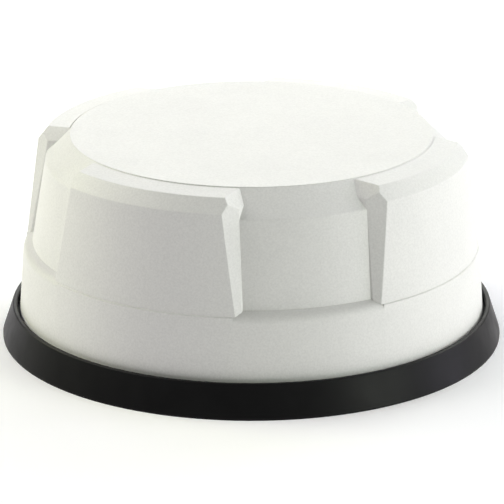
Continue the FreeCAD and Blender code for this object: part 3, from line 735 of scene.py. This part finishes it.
# ------------------------------------------------------------------ rear connectors
@dataclass
class DustCap:
    """A screw-on dust cap with a fluted grip and a dished end.

    Attributes:
        port: Which connector it closes.
        wall: The wall round its bore.
        roof: The thickness of its end.
        rim: The plain rim at each end of the grip.
        flutes: How many flutes the grip has.
        flute_depth: How deep they are.
        flute_edge: The width of each of the two slopes at their edges.
        grip_margin: The plain strip between the rims and the flutes.
        dish: How deep the end is dished.
        rounding: The rounding of its edges.
    """

    port: str
    wall: float = 0.00115
    roof: float = 0.0013
    rim: float = 0.0013
    flutes: int = 24
    flute_depth: float = 0.00042
    flute_edge: float = 0.00012
    grip_margin: float = 0.0002
    dish: float = 0.0004
    rounding: float = 0.0004

    def build(self, finish: bpy.types.Material) -> None:
        """Models the cap over its CAD node.

        Args:
            finish: The cap's material.
        """
        node = self.port + "_cap"
        low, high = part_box(node)
        centre = middle_of(node)
        radius = (high[2] - low[2]) / 2
        long = high[1] - low[1]
        bore = radius - self.wall
        r = self.rounding
        outline = [
            (bore, NICK),
            (bore + NICK, 0.0),
            (radius - r, 0.0),
            (radius - 0.3 * r, 0.3 * r),
            (radius, r),
            (radius, self.rim),
            (radius, self.rim + NICK),
            (radius, long - self.rim - NICK),
            (radius, long - self.rim),
            (radius, long - 2 * r),
            (radius - 0.25 * r, long - 1.1 * r),
            (radius - 0.9 * r, long - 0.35 * r),
            (radius - 2 * r, long),
            (0.66 * radius, long),
            (0.61 * radius, long - self.dish),
            (0.0, long - self.dish),
            (0.0, long - self.roof),
            (bore - NICK, long - self.roof),
            (bore, long - self.roof - NICK),
        ]
        steps = 4 * self.flutes
        cap = Workpiece.turned(node + "_shell", outline, steps)

        def in_flute(middle: Vector, normal: Vector) -> bool:
            """Whether a face of the grip lies in a flute."""
            along = self.rim + self.grip_margin < middle.z < long - self.rim - self.grip_margin
            outer = math.hypot(middle.x, middle.y) > radius - 0.0001
            column = int(math.degrees(math.atan2(middle.y, middle.x)) % 360.0 / (360.0 / steps))
            return along and outer and column % 4 < 2

        cap.pick(in_flute)
        cap.inset(self.flute_edge, -0.6 * self.flute_depth)
        cap.inset(self.flute_edge, -0.4 * self.flute_depth)
        piece = settle(cap.close(), Vector((centre.x, low[1], centre.z)), Way.REARWARD)
        fit(piece, self.port + "_cap", "cap_plastic", finish, node)


@dataclass
class RearPanel:
    """The connectors, their caps and the status lights at the rear."""

    cap: MouldedPlastic = MouldedPlastic(
        "black_cap_moulding", (0.018, 0.018, 0.019), (0.026, 0.026, 0.027), 0.5, Texture.SPARK
    )
    insulator: MouldedPlastic = MouldedPlastic(
        "black_insulator", (0.015, 0.015, 0.016), (0.02, 0.02, 0.02), 0.4, Texture.SATIN
    )
    nickel: TurnedMetal = TurnedMetal("satin_nickel", (0.62, 0.60, 0.56), 0.3, axis="Y")
    gold: TurnedMetal = TurnedMetal("gold_flash", (0.83, 0.62, 0.27), 0.22)
    window: ClearPlastic = ClearPlastic("smoked_window", (0.012, 0.012, 0.014), 0.12, 0.0)
    lens: ClearPlastic = ClearPlastic("clear_lens", (0.86, 0.9, 0.86), 0.08, 0.75)
    chip: MouldedPlastic = MouldedPlastic(
        "light_chip", (0.75, 0.7, 0.5), (0.8, 0.76, 0.6), 0.3, Texture.SATIN
    )

    def build(self, seal: bpy.types.Material) -> None:
        """Models the caps and dresses the rest.

        Args:
            seal: The sealing rubber's material.
        """
        cap = self.cap.make()
        insulator = self.insulator.make()
        nickel = self.nickel.make()
        gold = self.gold.make()
        for port in ("power", "data"):
            DustCap(port).build(cap)
            dress(nickel, port + "_port_shell", port + "_port_nut")
            dress(insulator, port + "_port_insert")
            dress(gold, port + "_port_pins")
            dress(seal, port + "_port_gasket", port + "_cap_seal")
        dress(self.window.make(), "light_bezel")
        dress(self.lens.make(), "light_pipes")
        dress(self.chip.make(), "light_chips")


# ------------------------------------------------------------------ underside
@dataclass
class Underside:
    """What is fixed into the base plate from below.

    Attributes:
        steel: The finish of screws and inserts.
        vent: The finish of the vent.
        membrane: The finish of its membrane.
        head_radius: The case screws' head radius.
        head_height: The case screws' head height.
        shank_radius: The case screws' shank radius.
        socket_radius: The radius to the corners of their hex socket.
        socket_depth: How deep the socket is, as a fraction of the head's height.
        screw_nose: The rounding of the screws' head and tip.
        screw_pitch: The pitch of their thread.
        plain_part: How much of a screw's length has no thread.
        seats: How many case screws there are.
        pole_bore: The pole thread's crest radius, depth, pitch and countersink.
        bracket_radius: The bracket inserts' outer radius.
        bracket_bore: The bracket threads' crest radius, depth, pitch and countersink.
        vent_bore: The radius of the vent's bore.
        vent_stem: The radius of the vent's stem.
        vent_head: The height of the vent's head.
        vent_rim: The plain rim round its drain slots.
        slot_edge: The width between one drain slot and the next, on each side.
        slot_depth: How deep the drain slots are.
    """

    steel: TurnedMetal = TurnedMetal("stainless_steel", (0.56, 0.56, 0.55), 0.3)
    vent: MouldedPlastic = MouldedPlastic(
        "vent_moulding", (0.06, 0.06, 0.063), (0.08, 0.08, 0.083), 0.45, Texture.SATIN
    )
    membrane: MouldedPlastic = MouldedPlastic(
        "vent_membrane_white", (0.7, 0.7, 0.7), (0.65, 0.65, 0.64), 0.8, Texture.LEATHER
    )
    head_radius: float = 0.00275
    head_height: float = 0.002
    shank_radius: float = 0.0015
    socket_radius: float = 0.00145
    socket_depth: float = 0.55
    screw_nose: float = 0.0004
    screw_pitch: float = 0.0005
    plain_part: float = 0.45
    seats: int = 6
    pole_bore: tuple[float, float, float, float] = (0.0067, 0.0135, 0.00231, 0.0012)
    bracket_radius: float = 0.0036
    bracket_bore: tuple[float, float, float, float] = (0.0021, 0.0085, 0.0008, 0.0005)
    vent_bore: float = 0.0012
    vent_stem: float = 0.003
    vent_head: float = 0.0008
    vent_rim: float = 0.0007
    slot_edge: float = 0.00012
    slot_depth: float = 0.0003

    def case_screws(self, finish: bpy.types.Material) -> None:
        """Models one socket screw, and copies it round the base.

        Args:
            finish: The screws' material.
        """
        low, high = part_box("case_screws")
        long = high[2] - low[2]
        r, h = self.head_radius, self.head_height
        shank, nose, pitch = self.shank_radius, self.screw_nose, self.screw_pitch
        outline = [
            (0.0, 0.0),
            (r - nose, 0.0),
            (r - nose / 4, nose / 4),
            (r, nose),
            (r, h),
            (shank, h),
        ]
        threads = int((long - self.plain_part * long - h) / pitch)
        top = long - threads * pitch - nose
        outline.append((shank, top))
        for i in range(threads):
            base = top + i * pitch
            outline += [(shank - pitch / 2, base + pitch / 2), (shank, base + pitch)]
        outline += [(shank - nose, long), (0.0, long)]
        first = Workpiece.turned("case_screw", outline, 40).close()
        tool = Workpiece.cylinder("hex_key", self.socket_radius, -h / 2, self.socket_depth * h, 6).close()
        carve(first, tool)
        ring = high[0] - r
        screws = []
        for i in range(self.seats):
            copy = twin(first, "case_screw_copy")
            turn = FULL_TURN * i / self.seats
            place = Vector((ring * math.cos(turn), ring * math.sin(turn), low[2]))
            screws.append(settle(copy, place, Way.UP, turn))
        bpy.data.objects.remove(first)
        fit(gather(screws, "case_screws_modelled"), "case", "steel", finish, "case_screws")

    def bush(
        self, name: str, radius: float, high: float, bore: float, deep: float, pitch: float, mouth: float
    ) -> bpy.types.Object:
        """Models a blind bush with thread ridges in its bore and a plain outside.

        Args:
            name: The piece's name.
            radius: Its outer radius.
            high: Its height.
            bore: The radius at the thread's crests.
            deep: How deep the bore goes.
            pitch: The thread's pitch.
            mouth: The countersink at its mouth.

        Returns:
            The piece, about +Z with its mouth at 0.
        """
        ridge = 0.45 * pitch
        outline = [
            (bore + mouth, 0.0),
            (radius - NICK, 0.0),
            (radius, NICK),
            (radius, high),
            (0.0, high),
            (0.0, deep),
        ]
        turns = int((deep - mouth - 0.3 * pitch) / pitch)
        start = mouth + turns * pitch
        outline.append((bore, deep))
        outline.append((bore, start))
        for i in range(turns):
            upper = start - i * pitch
            outline += [
                (bore + ridge, upper - 0.42 * pitch),
                (bore + ridge, upper - 0.58 * pitch),
                (bore, upper - 0.94 * pitch),
            ]
            if i < turns - 1:
                outline.append((bore, upper - pitch))
        return Workpiece.turned(name, outline, 96).close()

    def inserts(self, finish: bpy.types.Material) -> None:
        """Models the pole insert and the four bracket inserts.

        Args:
            finish: The inserts' material.
        """
        size = size_of("pole_insert")
        pole = self.bush("pole_insert_threaded", size.x / 2, size.z, *self.pole_bore)
        fit(pole, "case", "steel", finish, "pole_insert")
        low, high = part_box("bracket_inserts")
        first = self.bush("bracket_insert", self.bracket_radius, high[2] - low[2], *self.bracket_bore)
        reach = high[0] - self.bracket_radius
        copies = []
        for x in (-reach, reach):
            for y in (-reach, reach):
                copies.append(settle(twin(first, "bracket_insert_copy"), Vector((x, y, 0.0))))
        bpy.data.objects.remove(first)
        fit(gather(copies, "bracket_inserts_threaded"), "case", "steel", finish, "bracket_inserts")

    def vent_plug(self, finish: bpy.types.Material) -> None:
        """Models the vent with a ring of drain slots in its head.

        Args:
            finish: The vent's material.
        """
        low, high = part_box("vent_body")
        centre = middle_of("vent_body")
        radius = (high[0] - low[0]) / 2
        long = high[2] - low[2]
        outline = [
            (self.vent_bore, 0.0),
            (radius - NICK, 0.0),
            (radius, NICK),
            (radius, self.vent_head),
            (self.vent_stem, self.vent_head),
            (self.vent_stem, long),
            (self.vent_bore, long),
        ]
        plug = Workpiece.turned("vent_plug", outline, 48)
        plug.pick(lambda middle, normal: normal.z < -0.9 and middle.z < 0.0001)
        plug.inset(self.vent_rim)
        plug.inset(self.slot_edge, -self.slot_depth, each=True)
        piece = settle(plug.close(), Vector((centre.x, centre.y, low[2])))
        fit(piece, "case", "vent_plastic", finish, "vent_body")

    def build(self) -> None:
        """Models the fixings and dresses the rest."""
        steel = self.steel.make()
        self.case_screws(steel)
        self.inserts(steel)
        self.vent_plug(self.vent.make())
        dress(self.membrane.make(), "vent_membrane")


# ------------------------------------------------------------------ electronics
class Package(Enum):
    """A component's body size in metres, and how many leads each side has."""

    PROCESSOR = ((0.010, 0.010, 0.0012), 12)
    DRIVER = ((0.005, 0.004, 0.0010), 4)
    PASSIVE = ((0.0016, 0.0008, 0.0006), 0)


@dataclass
class BoardParts:
    """The components soldered to the boards.

    Attributes:
        chip: The finish of the packages.
        tin: The finish of leads and shields.
        passive_steps: The spacing of the small passive parts, across and along.
        main_sites: The packages on the main board, as kind and place across it.
    """

    chip: MouldedPlastic = MouldedPlastic(
        "chip_package", (0.02, 0.02, 0.021), (0.03, 0.03, 0.031), 0.42, Texture.SATIN
    )
    tin: TurnedMetal = TurnedMetal("tinned_sheet", (0.60, 0.60, 0.57), 0.3)
    passive_steps: tuple[float, float] = (0.003, 0.0022)
    main_sites: tuple[tuple[Package, float, float], ...] = (
        (Package.PROCESSOR, 0.038, -0.0235),
        (Package.PROCESSOR, -0.040, 0.010),
        (Package.DRIVER, -0.034, -0.0265),
        (Package.DRIVER, 0.0, 0.037),
        (Package.DRIVER, 0.014, 0.036),
        (Package.DRIVER, -0.014, 0.036),
    )

    def package(self, kind: Package) -> bpy.types.Object:
        """Models one package with its leads, standing on height 0.

        Args:
            kind: Which package it is.

        Returns:
            The piece.
        """
        (wide, deep, high), leads = kind.value
        shape = Workpiece.block("package", (wide, deep, high), (0.0, 0.0, high / 2))
        shape.pick(lambda middle, normal: normal.z > 0.9)
        shape.inset(0.06 * deep, 0.0)
        shape.draw_out((0.0, 0.0, 0.08 * high))
        shape.soften(0.05 * high, 0.9, 2)
        parts = [shape.close()]
        for i in range(leads):
            along = wide * 0.8 * ((i + 0.5) / leads - 0.5)
            for side in (-1.0, 1.0):
                foot = (0.25 * wide / leads, 0.0012, 0.0002)
                lead = Workpiece.block("lead", foot, (along, side * (deep / 2 + 0.0005), 0.0001))
                lead.pick(lambda middle, normal: normal.y * side < -0.9)
                lead.draw_out((0.0, 0.0, 0.4 * high))
                parts.append(lead.close())
        return gather(parts, "package_" + kind.name.lower())

    def populate(
        self, node: str, sites: tuple[tuple[Package, float, float], ...], finish: bpy.types.Material
    ) -> None:
        """Puts packages on top of a board.

        Args:
            node: The board's CAD node.
            sites: Each package's kind and place.
            finish: The packages' material.
        """
        _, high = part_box(node)
        copies = []
        for kind in Package:
            first = self.package(kind)
            for wanted, x, y in sites:
                if wanted is kind:
                    copies.append(settle(twin(first, "package_copy"), Vector((x, y, high[2]))))
            bpy.data.objects.remove(first)
        fit(gather(copies, node + "_parts"), "case", "chip", finish)

    def build(self) -> None:
        """Models the components."""
        chip = self.chip.make()
        wide, deep = self.passive_steps
        right = tuple(
            (Package.PASSIVE, 0.030 + wide * i, 0.010 + deep * j) for i in range(5) for j in range(4)
        )
        left = tuple(
            (Package.PASSIVE, -0.030 - wide * i, -0.0085 + deep * j) for i in range(4) for j in range(2)
        )
        self.populate("main_board", self.main_sites + right + left, chip)
        dress(chip, "tilt_sensor", "card_header", "ribbon_socket")
        dress(self.tin.make(), "receiver_can", "radio_can", "amplifier_can")


@dataclass
class Electronics:
    """The boards, the antenna stack and what holds them."""

    board: CircuitBoard = CircuitBoard(
        "green_solder_mask", (0.012, 0.10, 0.04), (0.03, 0.16, 0.07), 0.0024
    )
    ceramic: MouldedPlastic = MouldedPlastic(
        "patch_ceramic", (0.55, 0.48, 0.36), (0.60, 0.53, 0.42), 0.6, Texture.LEATHER
    )
    silver: TurnedMetal = TurnedMetal("silvered_plating", (0.80, 0.79, 0.75), 0.28)
    brass: TurnedMetal = TurnedMetal("turned_brass", (0.70, 0.50, 0.22), 0.28)
    sheet: TurnedMetal = TurnedMetal("plain_aluminium", (0.68, 0.68, 0.68), 0.36)
    film: MouldedPlastic = MouldedPlastic(
        "amber_film", (0.45, 0.22, 0.04), (0.5, 0.26, 0.06), 0.25, Texture.SATIN
    )

    def build(self) -> None:
        """Dresses the boards and the antenna, and models their components."""
        dress(self.board.make(), "main_board", "receiver_card", "antenna_board", "connector_board")
        dress(self.ceramic.make(), "lower_patch", "upper_patch")
        dress(self.silver.make(), "lower_foil", "upper_foil")
        brass = self.brass.make()
        dress(brass, "board_spacers", "card_spacers", "radome_inserts", "feed_pins")
        dress(brass, "antenna_link", "antenna_link_sockets")
        sheet = self.sheet.make()
        dress(sheet, "ground_plane", "antenna_screws", "card_screws", "backup_cell")
        dress(self.film.make(), "ribbon")
        BoardParts().build()


# ------------------------------------------------------------------ studio
@dataclass
class Studio:
    """The floor, the lights and the camera.

    Attributes:
        azimuth: The camera's turn round the receiver, in degrees.
        elevation: Its height above the horizon, in degrees.
        distance: Its distance from what it looks at, in metres.
        aim: What it looks at.
        lens: Its focal length, in millimetres.
        slip: Its sideways shift.
        bounce: The strength of the light from below.
        sensor: The width of the camera's film, in millimetres.
        near: The nearest thing that the camera sees, in metres.
        floor_size: The floor's width, in metres.
        floor_glow: The strength of the floor's own light.
        dome_radius: The backdrop's radius, in metres.
        lamps: The soft lights, by name.
    """

    azimuth: float = -14.47
    elevation: float = 19.15
    distance: float = 0.960
    aim: Corner = (0.0, 0.0, 0.025)
    lens: float = 219.4
    slip: float = 0.0012
    bounce: float = 0.92
    sensor: float = 36.0
    near: float = 0.01
    floor_size: float = 8.0
    floor_glow: float = 0.15
    dome_radius: float = 5.0
    lamps: dict[str, tuple[float, float, float, float, float, Colour]] = field(
        default_factory=lambda: {
            # turn from the camera's side, height, distance, size, power, colour
            "high_rear_light": (180.0, 55.0, 1.4, 1.0, 1.4, (0.51, 0.62, 1.0)),
            "front_right_light": (60.0, 20.0, 1.3, 0.7, 6.9, (0.93, 1.0, 0.88)),
            "high_right_light": (85.0, 45.0, 1.3, 0.8, 3.2, (0.95, 0.90, 1.0)),
            "right_light": (112.0, 25.0, 1.3, 0.7, 2.0, (0.99, 1.0, 0.73)),
            "low_right_light": (98.0, 12.0, 1.3, 0.6, 4.2, (0.85, 0.82, 1.0)),
            "high_left_light": (-90.0, 45.0, 1.3, 0.8, 8.2, (1.0, 0.98, 0.97)),
            "left_light": (-115.0, 25.0, 1.3, 0.7, 7.4, (0.94, 1.0, 0.65)),
            "low_rear_light": (180.0, 12.0, 1.5, 1.0, 5.7, (0.99, 1.0, 0.94)),
            "rear_right_light": (145.0, 35.0, 1.4, 0.8, 6.2, (0.98, 1.0, 0.99)),
            "rear_left_light": (-145.0, 35.0, 1.4, 0.8, 2.4, (0.77, 0.61, 1.0)),
        }
    )

    def direction(self, turn: float, height: float) -> Vector:
        """A unit vector towards a place round the receiver.

        Args:
            turn: Degrees round from the camera's side, positive to its right.
            height: Degrees above the horizon.

        Returns:
            The unit vector.
        """
        a = math.radians(self.azimuth + turn)
        h = math.radians(height)
        return Vector((math.sin(a) * math.cos(h), -math.cos(a) * math.cos(h), math.sin(h)))

    def camera(self) -> None:
        """Makes the camera."""
        data = bpy.data.cameras.new("camera")
        data.lens = self.lens
        data.sensor_width = self.sensor
        data.shift_x = self.slip
        data.clip_start = self.near
        holder = bpy.data.objects.new("camera", data)
        away = self.direction(0.0, self.elevation)
        holder.location = Vector(self.aim) + away * self.distance
        holder.rotation_euler = away.to_track_quat("Z", "Y").to_euler()
        bpy.context.scene.collection.objects.link(holder)
        bpy.context.scene.camera = holder

    def light(self, name: str) -> None:
        """Makes one soft light.

        Args:
            name: Its name in lamps.
        """
        turn, height, distance, size, power, colour = self.lamps[name]
        data = bpy.data.lights.new(name, "AREA")
        data.shape = "DISK"
        data.size = size
        data.energy = power
        data.color = colour
        holder = bpy.data.objects.new(name, data)
        away = self.direction(turn, height)
        holder.location = away * distance
        holder.rotation_euler = away.to_track_quat("Z", "Y").to_euler()
        bpy.context.scene.collection.objects.link(holder)

    def hide_from_light(self, piece: bpy.types.Object) -> None:
        """Lets the camera see a piece of the studio, and keeps it out of the light on the receiver.

        Args:
            piece: The floor or the backdrop.
        """
        piece.visible_diffuse = False
        piece.visible_glossy = False
        piece.visible_transmission = False
        piece.visible_shadow = False
        piece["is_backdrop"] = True

    def floor(self) -> None:
        """Makes the pale floor."""
        low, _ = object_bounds()
        bpy.ops.object.select_all(action="DESELECT")
        bpy.ops.mesh.primitive_plane_add(size=self.floor_size, location=(0.0, 0.0, low[2]))
        ground = bpy.context.object
        ground.name = "floor"
        sheet = NodeSheet("pale_floor")
        tone = sheet.blend(sheet.noise(0.4), (0.93, 0.93, 0.93), (0.94, 0.94, 0.94))
        sheet.join(tone, sheet.shader.inputs["Base Color"])
        sheet.shader.inputs["Roughness"].default_value = 0.9
        sheet.shader.inputs["Specular IOR Level"].default_value = 0.1
        sheet.shader.inputs["Emission Color"].default_value = (1.0, 1.0, 1.0, 1.0)
        sheet.shader.inputs["Emission Strength"].default_value = self.floor_glow
        ground.data.materials.append(sheet.material)
        self.hide_from_light(ground)

    def backdrop(self) -> None:
        """Makes the pale dome behind everything."""
        bpy.ops.object.select_all(action="DESELECT")
        bpy.ops.mesh.primitive_uv_sphere_add(segments=48, ring_count=24, radius=self.dome_radius)
        dome = bpy.context.object
        dome.name = "backdrop"
        sheet = NodeSheet("pale_backdrop")
        sheet.shader.inputs["Base Color"].default_value = (0.0, 0.0, 0.0, 1.0)
        sheet.shader.inputs["Emission Color"].default_value = (1.0, 1.0, 1.0, 1.0)
        sheet.shader.inputs["Emission Strength"].default_value = 1.0
        dome.data.materials.append(sheet.material)
        self.hide_from_light(dome)

    def under_light(self) -> None:
        """Makes the soft light that a white table throws up at what stands on it."""
        world = bpy.data.worlds.new("studio")
        world.use_nodes = True
        nodes = world.node_tree.nodes
        links = world.node_tree.links
        place = nodes.new("ShaderNodeTexCoord")
        parts = nodes.new("ShaderNodeSeparateXYZ")
        below = nodes.new("ShaderNodeMath")
        below.operation = "LESS_THAN"
        below.inputs[1].default_value = 0.0
        strength = nodes.new("ShaderNodeMath")
        strength.operation = "MULTIPLY"
        strength.inputs[1].default_value = self.bounce
        links.new(place.outputs["Generated"], parts.inputs["Vector"])
        links.new(parts.outputs["Z"], below.inputs[0])
        links.new(below.outputs["Value"], strength.inputs[0])
        links.new(strength.outputs["Value"], nodes["Background"].inputs["Strength"])
        nodes["Background"].inputs["Color"].default_value = (1.0, 0.98, 0.99, 1.0)
        bpy.context.scene.world = world

    def build(self) -> None:
        """Sets up the camera, the lights, the floor and the backdrop."""
        self.camera()
        for name in self.lamps:
            self.light(name)
        self.floor()
        self.backdrop()
        self.under_light()
        bpy.context.scene.view_settings.view_transform = "Standard"


def main() -> None:
    """Builds the receiver and its studio."""
    Studio().build()
    rubber = Shells().build()
    RearPanel().build(rubber)
    Underside().build()
    Electronics().build()


if __name__ == "__main__":
    main()
